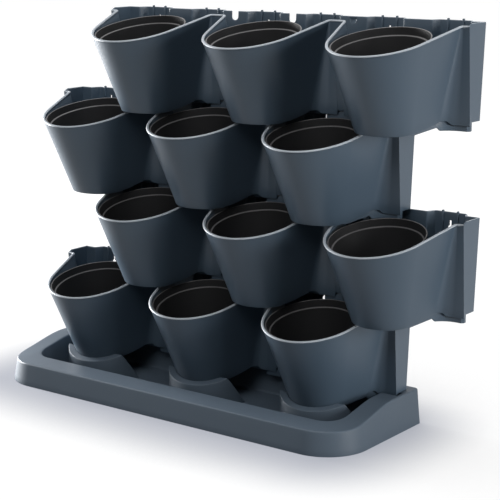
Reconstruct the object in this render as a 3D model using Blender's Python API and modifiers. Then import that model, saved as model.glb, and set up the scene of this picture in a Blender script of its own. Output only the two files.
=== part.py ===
# Tiered planter: a tray, four stacked casings of three leaning pockets, and twelve loose pots.
# X runs along the rows, Y to the back and Z up, with Z = 0 under the tray. Lengths are in metres.
# A casing's own frame has X = 0 midway along it, Y = 0 and Z = 0 at its pots' rim centres.
import bpy
import bmesh
from math import acos, atan2, cos, hypot, pi, radians, sin, sqrt, tan
from mathutils import Vector

# How many, and where they stand
tiers = 4
pockets = 3
pocket_pitch = 0.200
tier_pitch = 0.1265
seat_gap = 0.0003          # between a casing and what it stands on

# Pot
pot_rim_radius = 0.0654
pot_base_radius = 0.0370
pot_tilt = radians(13)
pot_wall = 0.0018
pot_band = 0.0100          # height of the wider band under the rim
pot_ledge = 0.0022         # step inwards below the band
pot_drop = 0.0025          # rim centre below the casing's datum
pot_seat = 0.0003          # between a pot's base and the pocket's floor
pot_sides = 18
drain_radius = 0.0045
drain_ring = 0.0200        # from the pot's axis to its drain holes
drains = 3

# Casing pockets
wall = 0.0025
rim_gap = 0.0054           # beside a pot's rim
base_gap = 0.0079          # beside a pot's base
rim_centre_y = 0.0059
base_back = 0.0049         # the pocket's floor centre behind the pot's
rim_tilt = radians(16.2)
rim_height = 0.0033        # of the pocket rim's plane at Y = 0
floor_wall = 0.0026
floor_margin = 0.0015      # of the tilted floor behind the pot's base
floor_step = 0.0010        # length of the slope down from it
arch_middle = 0.0225       # the underside's arch: its lowest clearance and its radius
arch_radius = 0.132
arch_steps = 6
pocket_arc_steps = 10

# Strips that join the pockets
strip_width = 0.0228
strip_top_y = 0.0500
strip_lean = 0.0120        # the strip's foot lies this far behind its top
strip_spread = 0.0226      # the strip's foot is this much wider on each side
valley_top = 0.0020        # radius of the corner between pocket and strip
valley_foot = 0.0250
valley_steps = 2
skirt_drop = 0.0048        # the strip's foot below the rest of the underside
skirt_ahead = 0.0030       # its front and rear, from the strip's faces
skirt_behind = 0.0005
skirt_slope = 0.0020       # where the skirt's front slopes up to the arch
notch_width = 0.0100       # of the small notch in each skirt
notch_height = 0.0060
lip_drop = 0.0118          # of the tongues behind the strips, below the panel's foot
lip_width = 0.0480
lip_thickness = 0.0026
end_lip_width = 0.0190

# Wavy back panel and end walls
panel_step = 0.0030        # panel's top edge above the strips' tops
shoulder = 0.0030          # where that step stands behind the strip
panel_y = 0.0930           # rear face of the forward flats
wave_depth = 0.0130
forward_flat = 0.0400
ramp = 0.0060
panel_draft = 0.0050       # the panel's foot ahead of its top edge
end_inset = 0.0010         # end wall short of half a pitch beyond the last pocket's centre
end_draft = 0.0020         # the end walls' foot inside their top edge
rib_width = 0.0025
rib_spacing = 0.0225
rib_length = 0.0400
rib_rise = 0.0020          # above the panel's edge
nest_gap = 0.0004          # between a rib and the casing above
key_width = 0.0036
key_radius = 0.0040
key_top = 0.0100
key_centre = -0.0010       # height of the keyhole's round part
hook_width = 0.0125        # of the notches in the panel's top edge
hook_depth = 0.0130
recess_depth = 0.0011
foot_drain_radius = 0.0040
seat_reach = 0.8           # share of the foot's valley that a seat cut leaves
seat_margin = 0.0010       # of the seat cuts behind the skirts

# Tray
tray_wall = 0.0030
tray_flare = 0.0050        # of the outer wall, from rim to floor
tray_side = 0.0070         # outer rim edge beyond the casing's end
tray_front = -0.0940
tray_back = 0.0060         # outer rim edge behind the panel's back flats at their foot
tray_front_radius = 0.0580
tray_back_radius = 0.0040
tray_rear_flare = 0.0010   # the rear wall flares less, because it faces the panel
tray_height = 0.0497       # of the tray's rear, which carries the lowest casing
tray_front_height = 0.0335
tray_rim_rise = 0.0015     # inner rim edge above the outer one, at the front
band_front = 0.0383
band_side = 0.0310
band_back = 0.0220
basin_radius = 0.0300
basin_draft = 0.0040
slope_front = -0.0650      # the side rims rise between these two places
slope_back = 0.0400
tray_arc_steps = 7
slope_steps = 8
slot_gap = 0.0015          # round the lips, in the tray's slots
saddle_radius = 0.0660
saddle_back = 0.0087       # the saddle's outer centre behind the pocket's
saddle_inset = 0.0074      # width of the ledge under the pocket
saddle_slope = 0.39
saddle_cut = 1.5           # slope of the saddle's ends
saddle_peak = 0.0432       # height above the ground where these slopes meet, at Y = 0
saddle_turn = radians(170) # of the horseshoe
saddle_steps = 12
saddle_gap = 0.0005

overshoot = 0.020          # of cutters past what they cut
edge_margin = 0.003        # of the sloping walls past the edge that trims them

# Sizes that follow
strip_x = pocket_pitch / 2 - strip_width / 2
strip_foot_x = strip_x - strip_spread
strip_foot_y = strip_top_y + strip_lean
half_length = pockets / 2 * pocket_pitch - end_inset
rim_slope = tan(rim_tilt)
strip_top = rim_height + rim_slope * strip_top_y
panel_top = strip_top + panel_step
panel_foot = panel_top + seat_gap - tier_pitch
skirt_foot = panel_foot - skirt_drop
lip_foot = panel_foot - lip_drop
floor_bend = strip_top_y
floor_top = panel_foot + floor_wall
pot_depth = cos(pot_tilt) * (-pot_drop - floor_top - pot_seat + tan(pot_tilt) * floor_bend)
pot_base_y = pot_depth * sin(pot_tilt)
pot_base_back = pot_base_y + pot_base_radius * cos(pot_tilt)
rim_radius = pot_rim_radius + rim_gap + wall
foot_radius = pot_base_radius + base_gap + wall
foot_centre_y = pot_base_y + base_back
saddle_centre_y = foot_centre_y + saddle_back
skirt_front = strip_foot_y - skirt_ahead
skirt_back = strip_foot_y + wall + skirt_behind
datum = tray_height + seat_gap - panel_foot    # height of the lowest casing's frame above the ground


def rim_z(y):
    """Height of the pocket rim's plane."""
    return rim_height + rim_slope * y


def underside_z(y):
    """Underside of a pocket: the rim plane of the row below, under a shallow arch."""
    arch = (y - arch_middle) ** 2 / (2 * arch_radius)
    return min(rim_z(y) - tier_pitch + 1.5 * seat_gap + arch, panel_foot)


def collection(name):
    group = bpy.data.collections.new(name)
    bpy.context.scene.collection.children.link(group)
    return group


def plastic(name, colour, roughness):
    material = bpy.data.materials.new(name)
    material.use_nodes = True
    shader = material.node_tree.nodes["Principled BSDF"]
    shader.inputs["Base Color"].default_value = (*colour, 1)
    shader.inputs["Roughness"].default_value = roughness
    shader.inputs["Metallic"].default_value = 0
    return material


def add_object(name, mesh, group, material=None):
    piece = bpy.data.objects.new(name, mesh)
    group.objects.link(piece)
    if material and not mesh.materials:
        mesh.materials.append(material)
    if group is cutters:
        piece.hide_render = True
        piece.display_type = "WIRE"
    return piece


def mesh_from(name, build):
    """A mesh that build fills through bmesh, with its faces pointing out."""
    work = bmesh.new()
    build(work)
    bmesh.ops.recalc_face_normals(work, faces=work.faces[:])
    mesh = bpy.data.meshes.new(name)
    work.to_mesh(mesh)
    work.free()
    return mesh


def bridge(work, rings, closed=False):
    """Skin rings of equal length; the ends are capped unless the skin is closed on itself."""
    loops = [[work.verts.new(point) for point in ring] for ring in rings]
    pairs = list(zip(loops, loops[1:]))
    if closed:
        pairs.append((loops[-1], loops[0]))
    for low, high in pairs:
        for i, corner in enumerate(low):
            after = (i + 1) % len(low)
            work.faces.new((corner, low[after], high[after]))
            work.faces.new((corner, high[after], high[i]))
    if not closed:
        work.faces.new(loops[0][::-1])
        work.faces.new(loops[-1])


def prism(work, outline, axis, start, end):
    """A flat outline carried along X (points are Y, Z), Y (X, Z) or Z (X, Y)."""
    place = {
        "X": lambda a, b: (start, a, b),
        "Y": lambda a, b: (a, start, b),
        "Z": lambda a, b: (a, b, start),
    }
    face = work.faces.new([work.verts.new(place[axis](a, b)) for a, b in outline])
    made = bmesh.ops.extrude_face_region(work, geom=[face])["geom"]
    moved = [item for item in made if isinstance(item, bmesh.types.BMVert)]
    shift = Vector([end - start if axis == letter else 0 for letter in "XYZ"])
    bmesh.ops.translate(work, vec=shift, verts=moved)


def box(work, low, high):
    made = bmesh.ops.create_cube(work, size=1)["verts"]
    centre = [(a + b) / 2 for a, b in zip(low, high)]
    bmesh.ops.scale(work, vec=[b - a for a, b in zip(low, high)], verts=made)
    bmesh.ops.translate(work, vec=centre, verts=made)


def cut(piece, tool, operation="DIFFERENCE"):
    step = piece.modifiers.new(tool.name, "BOOLEAN")
    step.operation = operation
    step.solver = "EXACT"
    step.object = tool


def baked(piece):
    """The piece's mesh with its modifiers worked in."""
    graph = bpy.context.evaluated_depsgraph_get()
    graph.update()
    mesh = bpy.data.meshes.new_from_object(piece.evaluated_get(graph))
    mesh.name = piece.name
    return mesh


def arc(centre, radius, start, end, steps):
    angles = [start + (end - start) * i / steps for i in range(steps + 1)]
    return [(centre[0] + radius * cos(a), centre[1] + radius * sin(a)) for a in angles]


def offset(ring, distance):
    """The ring moved inwards by the distance, with mitred corners; it runs anticlockwise."""
    moved = []
    for i, (x, y) in enumerate(ring):
        before = ring[i - 1]
        after = ring[(i + 1) % len(ring)]
        first = Vector((x - before[0], y - before[1])).normalized()
        second = Vector((after[0] - x, after[1] - y)).normalized()
        inward = Vector((-first.y - second.y, first.x + second.x)).normalized()
        reach = distance / (inward.x * -first.y + inward.y * first.x)
        moved.append((x + inward.x * reach, y + inward.y * reach))
    return moved


def pocket_half(radius, centre_y, corner_x, corner_y, valley):
    """Right half of a pocket's outline: an arc, a tangent wall, then the rounded valley at the strip."""
    away = atan2(corner_y - centre_y, corner_x)
    touch = away - acos(radius / hypot(corner_x, corner_y - centre_y))
    points = arc((0, centre_y), radius, -pi / 2, touch, pocket_arc_steps)
    lean = touch + pi / 2
    setback = valley * tan(lean / 2)
    centre = (corner_x + setback, corner_y - valley)
    return points + arc(centre, valley, lean + pi / 2, pi / 2, valley_steps)


def front_line(foot):
    """The casing's front from its left end to its right: three pockets and the strips."""
    if foot:
        half = pocket_half(foot_radius, foot_centre_y, strip_foot_x, strip_foot_y, valley_foot)
    else:
        half = pocket_half(rim_radius, rim_centre_y, strip_x, strip_top_y, valley_top)
    whole = [(-x, y) for x, y in half[:0:-1]] + half
    return [(x + centre, y) for centre in pocket_centres() for x, y in whole]


def back_line(foot):
    """The rear face from right to left: flats that step back and forward every half pitch."""
    shift = panel_draft if foot else 0
    period = pocket_pitch / 2
    waves = 2 * pockets
    rear_half = (period - forward_flat) / 2 - ramp
    half_wave = [(rear_half + ramp, 0), (rear_half, wave_depth)]
    wave = half_wave + [(-x, y) for x, y in half_wave[::-1]]
    middles = [(waves - 1) / 2 * period - i * period for i in range(waves)]
    return [(middle + x, panel_y - shift + y) for middle in middles for x, y in wave]


def casing_ring(foot):
    """The whole outline with each point's height, anticlockwise from the left end of the front."""
    end = half_length - (end_draft if foot else 0)
    strip_y = strip_foot_y if foot else strip_top_y
    rear_y = panel_y - (panel_draft if foot else 0)
    front = [(-end, strip_y)] + front_line(foot) + [(end, strip_y)]
    back = [(end, rear_y)] + back_line(foot) + [(-end, rear_y)]
    return front, back


def casing_rings(inset):
    """The casing's outline, set in: below its foot, just over its edge, and straight up from there."""
    tall = {}
    for foot in (True, False):
        front, back = casing_ring(foot)
        ring = offset(front + back, inset)
        heights = []
        for i, (x, y) in enumerate(ring):
            outer_y = (front + back)[i][1]
            if i >= len(front):
                heights.append(panel_foot if foot else panel_top)
            elif foot:
                heights.append(skirt_foot if outer_y > skirt_front else underside_z(outer_y))
            else:
                heights.append(rim_z(outer_y))
        tall[foot] = [Vector((x, y, z)) for (x, y), z in zip(ring, heights)]
    low_ring = []
    edge_ring = []
    for low, high in zip(tall[True], tall[False]):
        height = high.z - low.z
        low_ring.append(low.lerp(high, (lip_foot - overshoot - low.z) / height))
        edge_ring.append(low.lerp(high, 1 + edge_margin / height))
    top_ring = [Vector((point.x, point.y, panel_top + overshoot)) for point in edge_ring]
    return [low_ring, edge_ring, top_ring]


def span():
    return half_length + overshoot


def above_casing(work, gap=0):
    """All that lies over the pocket rims and the panel's edge."""
    front = rim_centre_y - rim_radius - 2 * overshoot
    bend = strip_top_y + shoulder
    rear = panel_y + wave_depth + overshoot
    top = panel_top + 2 * overshoot
    outline = [(front, rim_z(front) + gap), (bend, rim_z(bend) + gap), (bend, panel_top + gap)]
    prism(work, outline + [(rear, panel_top + gap), (rear, top), (front, top)], "X", -span(), span())


def below_casing(work, gap=0):
    """All that lies under the casing: the arched pockets, the skirts and the flat rear."""
    front = rim_centre_y - rim_radius - overshoot
    rear = panel_y + wave_depth + overshoot
    deep = lip_foot - 2 * overshoot
    near = foot_centre_y - foot_radius - 2 * wall
    ys = [front] + [near + (strip_top_y - near) * i / arch_steps for i in range(arch_steps + 1)]
    ys.append(skirt_front - skirt_slope)
    outline = [(y, underside_z(y) - gap) for y in ys]
    outline += [(skirt_front, skirt_foot - gap), (skirt_back, skirt_foot - gap)]
    outline += [(skirt_back, panel_foot - gap)]
    prism(work, outline + [(rear, panel_foot - gap), (rear, deep), (front, deep)], "X", -span(), span())


def under_floor(work):
    """What the hollow leaves standing: a floor that tilts as the pots do, and is flat behind them."""
    slope = tan(pot_tilt)
    front = rim_centre_y - rim_radius - overshoot
    edge = pot_base_back + floor_margin
    rear = panel_y + wave_depth + overshoot
    deep = lip_foot - 2 * overshoot
    outline = [(y, floor_top + slope * (y - floor_bend)) for y in (front, edge)]
    outline += [(edge + floor_step, floor_top), (rear, floor_top), (rear, deep), (front, deep)]
    prism(work, outline, "X", -span(), span())


def pocket_centres():
    return [(k - (pockets - 1) / 2) * pocket_pitch for k in range(pockets)]


def strip_centres():
    return [(k - pockets / 2) * pocket_pitch for k in range(1, pockets)]


def flat_centres():
    """Middles of the panel's back flats."""
    return [centre + side * pocket_pitch / 4 for centre in pocket_centres() for side in (-1, 1)]


def seat_cuts(work):
    """Room under each pocket for the strips and end walls of the row below."""
    reach = strip_foot_x - valley_foot * seat_reach
    for centre in pocket_centres():
        box(work, (centre - reach, skirt_front - skirt_ahead, skirt_foot - overshoot),
            (centre + reach, skirt_back + seat_margin, panel_foot))
    for centre in strip_centres():
        box(work, (centre - notch_width / 2, skirt_front - seat_margin, skirt_foot - overshoot),
            (centre + notch_width / 2, skirt_back - skirt_behind, skirt_foot + notch_height))


def foot_drains(work):
    for centre in pocket_centres():
        made = bmesh.ops.create_cone(work, cap_ends=True, segments=8, radius1=foot_drain_radius,
                                     radius2=foot_drain_radius, depth=2 * overshoot)["verts"]
        bmesh.ops.translate(work, vec=(centre, pot_base_y, underside_z(pot_base_y)), verts=made)


def keyholes(work):
    """A round hole under a narrow slot, through each back flat."""
    near = panel_y - panel_draft + ramp / 2
    far = panel_y + wave_depth + overshoot
    turn = atan2(sqrt(key_radius ** 2 - key_width ** 2 / 4), key_width / 2)
    for centre in flat_centres():
        outline = arc((centre, key_centre), key_radius, pi - turn, 2 * pi + turn, 6)
        outline += [(centre + key_width / 2, key_top), (centre - key_width / 2, key_top)]
        prism(work, outline, "Y", near, far)


def hook(work, centre, near, far):
    """A round-bottomed notch, open at the top edge."""
    radius = hook_width / 2
    outline = arc((centre, panel_top - hook_depth + radius), radius, pi, 2 * pi, 6)
    outline += [(centre + radius, panel_top + overshoot), (centre - radius, panel_top + overshoot)]
    prism(work, outline, "Y", near, far)


def hooks(work):
    """Open notches in two forward flats, and a blind one in a third."""
    step = pocket_pitch / 2
    face = panel_y - wall
    for centre in (-step, 0):
        hook(work, centre, face - ramp, panel_y + ramp)
    hook(work, step, face - ramp, face + recess_depth - panel_draft * hook_depth / tier_pitch)


def ribs(work):
    """Pairs of upright ribs on the front of each back flat, a little taller than the panel."""
    lean = panel_draft / (panel_top - panel_foot)
    top = panel_top + rib_rise
    foot = top - rib_length
    front = panel_y + wave_depth - panel_draft + nest_gap
    back = panel_y + wave_depth - wall / 2
    shift = lean * rib_length
    outline = [(front, top), (front - shift, foot), (back - shift, foot), (back, top)]
    for centre in flat_centres():
        for side in (-1, 1):
            middle = centre + side * rib_spacing / 2
            prism(work, outline, "X", middle - rib_width / 2, middle + rib_width / 2)


def lips(work):
    """Tongues behind the strips that reach down behind the pots of the row below."""
    near = skirt_back
    far = skirt_back + lip_thickness
    top = panel_foot + floor_wall / 2
    for centre in strip_centres():
        box(work, (centre - lip_width / 2, near, lip_foot), (centre + lip_width / 2, far, top))
    for side in (-1, 1):
        outer = side * (half_length - end_draft - wall)
        inner = outer - side * end_lip_width
        box(work, (min(inner, outer), near, lip_foot), (max(inner, outer), far, top))


def casing_form(name, inset, gap, group):
    """The casing's outside as a block, set in or let out."""
    block = add_object(name, mesh_from(name, lambda work: bridge(work, casing_rings(inset))), group)
    above = mesh_from(name + "_above", lambda work: above_casing(work, gap))
    below = mesh_from(name + "_below", lambda work: below_casing(work, gap))
    cut(block, add_object(above.name, above, cutters))
    cut(block, add_object(below.name, below, cutters))
    return block


def make_casing():
    """The mesh that all casings share."""
    casing = casing_form("casing", 0, 0, cutters)
    inside = mesh_from("hollow", lambda work: bridge(work, casing_rings(wall)))
    hollow = add_object("hollow", inside, cutters)
    cut(hollow, add_object("under_floor", mesh_from("under_floor", under_floor), cutters))
    cut(casing, hollow)
    for build in (seat_cuts, foot_drains, keyholes, hooks):
        cut(casing, add_object(build.__name__, mesh_from(build.__name__, build), cutters))
    for build in (ribs, lips):
        cut(casing, add_object(build.__name__, mesh_from(build.__name__, build), cutters), "UNION")
    return baked(casing)


def make_pot():
    """The mesh that all pots share: a turned wall with an inner ledge, and drain holes."""
    taper = (pot_rim_radius - pot_ledge - pot_base_radius) / pot_depth

    def outside(depth, step):
        return (pot_rim_radius - step - taper * depth, -depth - step / 4)

    def inside(depth, step):
        return (pot_rim_radius - pot_wall - step - taper * depth, -depth - step / 4)

    floor = pot_depth - pot_wall
    under_band = pot_band + pot_wall
    profile = [outside(0, 0), outside(under_band, 0), outside(under_band, pot_ledge)]
    profile += [(pot_base_radius, -pot_depth), (0, -pot_depth)]
    profile += [(0, -floor), (pot_base_radius - pot_wall, -floor)]
    profile += [inside(pot_band, pot_ledge), inside(pot_band, 0), inside(0, 0), outside(0, 0)]
    mesh = bpy.data.meshes.new("pot_profile")
    mesh.from_pydata([(r, 0, z) for r, z in profile], [(i, i + 1) for i in range(len(profile) - 1)], [])
    pot = add_object("pot", mesh, cutters)
    turn = pot.modifiers.new("turn", "SCREW")
    turn.steps = pot_sides
    turn.render_steps = pot_sides
    turn.use_merge_vertices = True
    turn.merge_threshold = 0.00001
    turn.use_normal_calculate = True

    def drain_holes(work):
        for i in range(drains):
            angle = 2 * pi * (i + 0.5) / drains
            made = bmesh.ops.create_cone(work, cap_ends=True, segments=6, radius1=drain_radius,
                                         radius2=drain_radius, depth=overshoot)["verts"]
            spot = (drain_ring * cos(angle), drain_ring * sin(angle), -pot_depth)
            bmesh.ops.translate(work, vec=spot, verts=made)

    cut(pot, add_object("drain_holes", mesh_from("drain_holes", drain_holes), cutters))
    return baked(pot)


def tray_ring(side, front, rear, front_radius, rear_radius, height):
    """A rounded rectangle, anticlockwise from the rear left; its height depends on Y."""
    right = arc((side - front_radius, front + front_radius), front_radius, -pi / 2, 0, tray_arc_steps)
    ends = (front + front_radius, rear - rear_radius)
    right += [(side, ends[0] + (ends[1] - ends[0]) * i / slope_steps) for i in range(1, slope_steps)]
    right += arc((side - rear_radius, rear - rear_radius), rear_radius, 0, pi / 2, 2)
    left = [(-x, y) for x, y in right[::-1]]
    return [(x, y, height(y)) for x, y in right + left]


def smooth_rise(y):
    """Nought before the side rims rise, one behind, and smooth between."""
    share = min(max((y - slope_front) / (slope_back - slope_front), 0), 1)
    return share * share * (3 - 2 * share)


def make_tray():
    seat = tray_height
    side = half_length + tray_side
    foot_rear = panel_y - panel_draft + wave_depth
    rear = foot_rear + tray_back
    inner = (side - band_side, tray_front + band_front, rear - band_back)

    def outer_height(y):
        return tray_front_height + (seat - tray_front_height) * smooth_rise(y)

    def inner_height(y):
        low = tray_front_height + tray_rim_rise
        return low + (seat - low) * smooth_rise(y)

    def outer(grow, height):
        rear_grow = min(grow, tray_rear_flare)
        rear_radius = tray_back_radius + max(rear_grow, -tray_wall / 2)
        return tray_ring(side + grow, tray_front - grow, rear + rear_grow,
                         tray_front_radius + grow, rear_radius, height)

    def basin(shrink, height):
        return tray_ring(inner[0] - shrink, inner[1] + shrink, inner[2] - shrink,
                         basin_radius - shrink, basin_radius / 3 - shrink / 2, height)

    def shell(work):
        bridge(work, [outer(tray_flare, lambda y: 0), outer(0, outer_height), basin(0, inner_height),
                      basin(basin_draft, lambda y: tray_wall)])

    def rim_hollow(work):
        deep = -overshoot
        lean = tray_flare / tray_front_height
        bridge(work, [outer(tray_flare - lean * deep - tray_wall, lambda y: deep),
                      outer(-tray_wall, lambda y: outer_height(y) - tray_wall),
                      basin(-tray_wall, lambda y: inner_height(y) - tray_wall),
                      basin(basin_draft - tray_wall, lambda y: deep)], closed=True)

    def saddles(work):
        start = -(pi + saddle_turn) / 2
        end = start + saddle_turn
        for centre in pocket_centres():
            ring = arc((centre, saddle_centre_y), saddle_radius, start, end, saddle_steps)
            ring += arc((centre, foot_centre_y), foot_radius - saddle_inset, end, start, saddle_steps)
            prism(work, ring, "Z", tray_wall / 2, seat)

    def saddle_tops(work):
        front = tray_front
        rear_y = saddle_centre_y + saddle_radius
        top = seat + overshoot
        outline = [(front, saddle_peak + saddle_slope * front), (0, saddle_peak)]
        outline += [(rear_y, saddle_peak - saddle_cut * rear_y), (rear_y, top), (front, top)]
        prism(work, outline, "X", -span(), span())

    def lip_slots(work):
        for sign in (-1, 1):
            ends = (sign * (inner[0] - overshoot), sign * (half_length + slot_gap))
            box(work, (min(ends), skirt_front - slot_gap, datum + lip_foot - slot_gap),
                (max(ends), skirt_back + lip_thickness + slot_gap, seat + overshoot))

    stand = add_object("saddles", mesh_from("saddles", saddles), cutters)
    cut(stand, add_object("saddle_tops", mesh_from("saddle_tops", saddle_tops), cutters))
    seat_form = casing_form("seat_form", -saddle_gap, saddle_gap, cutters)
    seat_form.location.z = datum
    for tool in ("seat_form_above", "seat_form_below"):
        bpy.data.objects[tool].location.z = datum
    cut(stand, seat_form)
    tray = add_object("tray_block", mesh_from("tray_block", shell), cutters)
    cut(tray, add_object("rim_hollow", mesh_from("rim_hollow", rim_hollow), cutters))
    cut(tray, add_object("lip_slots", mesh_from("lip_slots", lip_slots), cutters))
    cut(tray, stand, "UNION")
    return baked(tray)


def tier_place(row):
    """Where a casing stands; row 1 is the top one, and odd rows are half a pocket to the right."""
    shift = pocket_pitch / 2 if row % 2 else 0
    return (shift, 0, datum + (tiers - row) * tier_pitch)


for old in list(bpy.data.objects):
    bpy.data.objects.remove(old, do_unlink=True)

planter = collection("tiered_planter")
cutters = collection("cutters")
casing_plastic = plastic("casing_plastic", (0.070, 0.090, 0.112), 0.42)
tray_plastic = plastic("tray_plastic", (0.085, 0.106, 0.130), 0.45)
pot_plastic = plastic("pot_plastic", (0.022, 0.021, 0.022), 0.50)

casing_mesh = make_casing()
casing_mesh.materials.append(casing_plastic)
pot_mesh = make_pot()
pot_mesh.materials.append(pot_plastic)

tray_mesh = make_tray()
add_object("tray", tray_mesh, planter, tray_plastic)

for row in range(1, tiers + 1):
    tier = add_object(f"tier_{row}", casing_mesh, planter)
    tier.location = tier_place(row)
    for column, centre in enumerate(pocket_centres(), start=1):
        pot = add_object(f"pot_{row}_{column}", pot_mesh, planter)
        pot.parent = tier
        pot.location = (centre, 0, -pot_drop)
        pot.rotation_euler = (pot_tilt, 0, 0)

for mesh in (casing_mesh, pot_mesh, tray_mesh):
    mesh.shade_smooth()
    mesh.set_sharp_from_angle(angle=radians(35))
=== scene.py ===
import math
import bpy
import bmesh
import numpy as np
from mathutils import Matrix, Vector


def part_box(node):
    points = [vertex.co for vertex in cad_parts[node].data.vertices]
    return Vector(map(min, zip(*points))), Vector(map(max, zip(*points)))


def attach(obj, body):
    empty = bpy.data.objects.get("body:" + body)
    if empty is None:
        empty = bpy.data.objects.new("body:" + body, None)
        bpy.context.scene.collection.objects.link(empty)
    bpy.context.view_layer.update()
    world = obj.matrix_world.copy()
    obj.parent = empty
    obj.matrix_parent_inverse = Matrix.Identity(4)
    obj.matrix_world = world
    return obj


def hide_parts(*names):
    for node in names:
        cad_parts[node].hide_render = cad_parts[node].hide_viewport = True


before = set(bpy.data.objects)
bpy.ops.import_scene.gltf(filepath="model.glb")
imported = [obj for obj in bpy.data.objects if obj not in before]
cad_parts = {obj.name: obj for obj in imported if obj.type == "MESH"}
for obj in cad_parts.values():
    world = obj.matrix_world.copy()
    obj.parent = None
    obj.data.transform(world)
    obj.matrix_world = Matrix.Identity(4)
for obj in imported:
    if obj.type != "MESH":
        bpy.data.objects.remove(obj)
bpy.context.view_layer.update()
print("frame loaded:", len(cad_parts), "nodes")

# Lengths are in metres. A casing is worked out in its own frame: X = 0 midway along it,
# Y = 0 and Z = 0 at the centres of its pots' rims, Y running to the back.
casing = dict(
    pockets=3, pitch=0.200, wall=0.0025,
    rimRadius=0.0733, rimCentre=0.0059, rimLevel=0.0033, rimSlope=math.tan(math.radians(16.2)),
    footRadius=0.0474, footCentre=0.02934,
    stripX=0.0886, stripY=0.0500, stripFootX=0.0660, stripFootY=0.0620,
    valleyTop=0.0026, valleyFoot=0.0250,
    tierPitch=0.1265, seatGap=0.0003, archGap=0.00045, archMiddle=0.0225, archRadius=0.132,
    endReach=0.0990, endDraft=0.0020, endBlend=0.0170, endEase=0.0100,
    panelStep=0.0030, shoulder=0.0030, shoulderEase=0.0008, panelFrom=0.0800,
    panelY=0.0930, waveDepth=0.0130, rearHalf=0.0240, ramp=0.0060, waveEase=0.22, panelDraft=0.0050,
    skirtDrop=0.0048, skirtFront=0.0560, skirtRise=0.0045, skirtBack=0.0650, skirtFall=0.0004,
    skirtFree=0.0460, skirtEase=0.0010, notchHalf=0.0050, notchHeight=0.0060, notchEase=0.0001,
    floorWall=0.0026, floorTilt=math.radians(13), floorEdge=0.0620, floorEase=0.0015,
    beadRadius=0.0019, beadEnd=0.0040, beadEase=0.0030, edgeRadius=0.0007,
    hookHalf=0.00625, hookDepth=0.0130, recessDepth=0.0011, recessDrop=0.0080,
    keyRadius=0.0040, keyHalf=0.0018, keyTop=0.0100, keyCentre=-0.0010, keyReach=(0.0960, 0.1200),
    drainRadius=0.0040, drainY=0.0244, drainReach=(-0.1300, -0.0900),
    paleBead=0.0023, paleBack=0.0020, paleEdge=0.0005)

# How finely the casing's mesh is divided: points of half a pocket's outline, and places in Y
grid = dict(
    arc=400, line=200, corner=200, keepArc=14, keepLine=25, keepCorner=12,
    beforeRamp=0.0036, afterRamp=0.0020, rampSteps=11, hookSteps=11, leastStep=0.00006, endStep=0.0004,
    hair=0.00003, endHair=0.00001, frontMost=-0.0300, backMost=0.2000,
    edgeSteps=5, wallSteps=9, beadSteps=15, insideTop=(0, 0.15, 8), insideRest=(0.3, 1, 6),
    keySteps=25, slotSteps=9, drainSteps=32,
    sideDepth=0.0258, sides=(0.0042, 0.0070, 0.0100, 0.0140, 0.0180, 0.0220),
    underArch=(-0.0185, 0.0550, 26), floorSlope=(-0.0150, 0.0600, 16),
    underSkirt=(0.0560, 0.0572, 0.0583, 0.0594, 0.0605, 0.0620, 0.0649, 0.0651, 0.0654),
    underPanel=(0.0885, 0.0920, 0.0960, 0.1000),
    floorBack=(0.0620, 0.0625, 0.0630, 0.0635), floorPanel=(0.0870, 0.0900, 0.0950))

sharpAngle = math.radians(34)    # between faces, from which an edge shades sharp

# Sizes that follow from those
c = casing
stripTop = c["rimLevel"] + c["rimSlope"] * c["stripY"]
panelTop = stripTop + c["panelStep"]
panelFoot = panelTop + c["seatGap"] - c["tierPitch"]
floorTop = panelFoot + c["floorWall"]
halfLength = (c["pockets"] - 1) / 2 * c["pitch"] + c["endReach"]
pocketCentres = (np.arange(c["pockets"]) - (c["pockets"] - 1) / 2) * c["pitch"]
stripCentres = (pocketCentres[1:] + pocketCentres[:-1]) / 2
flatCentres = np.sort(np.concatenate([pocketCentres - c["pitch"] / 4, pocketCentres + c["pitch"] / 4]))
hookPlaces = [-c["pitch"] / 2, 0, c["pitch"] / 2]    # on forward flats; the last one is blind


def smooth(t):
    # eases from 0 to 1: 3t^2 - 2t^3
    t = np.clip(t, 0, 1)
    return t * t * (3 - 2 * t)


def roundClamp(t, soft):
    # clamps t to 0..1 with parabolic corners of half width soft
    low = (np.clip(t, -soft, soft) + soft) ** 2 / (4 * soft) + np.clip(t - soft, 0, None)
    over = (np.clip(t - 1, -soft, soft) + soft) ** 2 / (4 * soft) + np.clip(t - 1 - soft, 0, None)
    return low - over


def toMesh(name, vertices, faces, merge=2e-6):
    # puts points and quads in a mesh, welds seams and turns the faces outwards
    mesh = bpy.data.meshes.new(name)
    mesh.from_pydata(vertices.tolist(), [], faces)
    work = bmesh.new()
    work.from_mesh(mesh)
    bmesh.ops.remove_doubles(work, verts=work.verts[:], dist=merge)
    bmesh.ops.dissolve_degenerate(work, dist=merge / 2, edges=work.edges[:])
    bmesh.ops.recalc_face_normals(work, faces=work.faces[:])
    work.to_mesh(mesh)
    work.free()
    return mesh


def gridFaces(rows, columns, closed):
    # quads of a grid of rows x columns whose points are numbered row by row; closed wraps the columns
    r, k = np.meshgrid(np.arange(rows - 1), np.arange(columns if closed else columns - 1), indexing="ij")
    after = (k + 1) % columns
    low, high = r * columns, (r + 1) * columns
    return np.stack([low + k, low + after, high + after, high + k], -1).reshape(-1, 4).tolist()


def joinParts(parts):
    # stacks several (points, faces) pairs into one
    points = []
    faces = []
    count = 0
    for some, quads in parts:
        points.append(np.asarray(some, float).reshape(-1, 3))
        faces += [[i + count for i in face] for face in quads]
        count += len(points[-1])
    return np.concatenate(points), faces


def closedTube(rings):
    # rings (n, m, 3) skinned in turn, with a flat cap on the first and the last
    n, m = rings.shape[:2]
    faces = gridFaces(n, m, True)
    faces.append(list(range(m))[::-1])
    faces.append([(n - 1) * m + i for i in range(m)])
    return rings.reshape(-1, 3), faces


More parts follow.
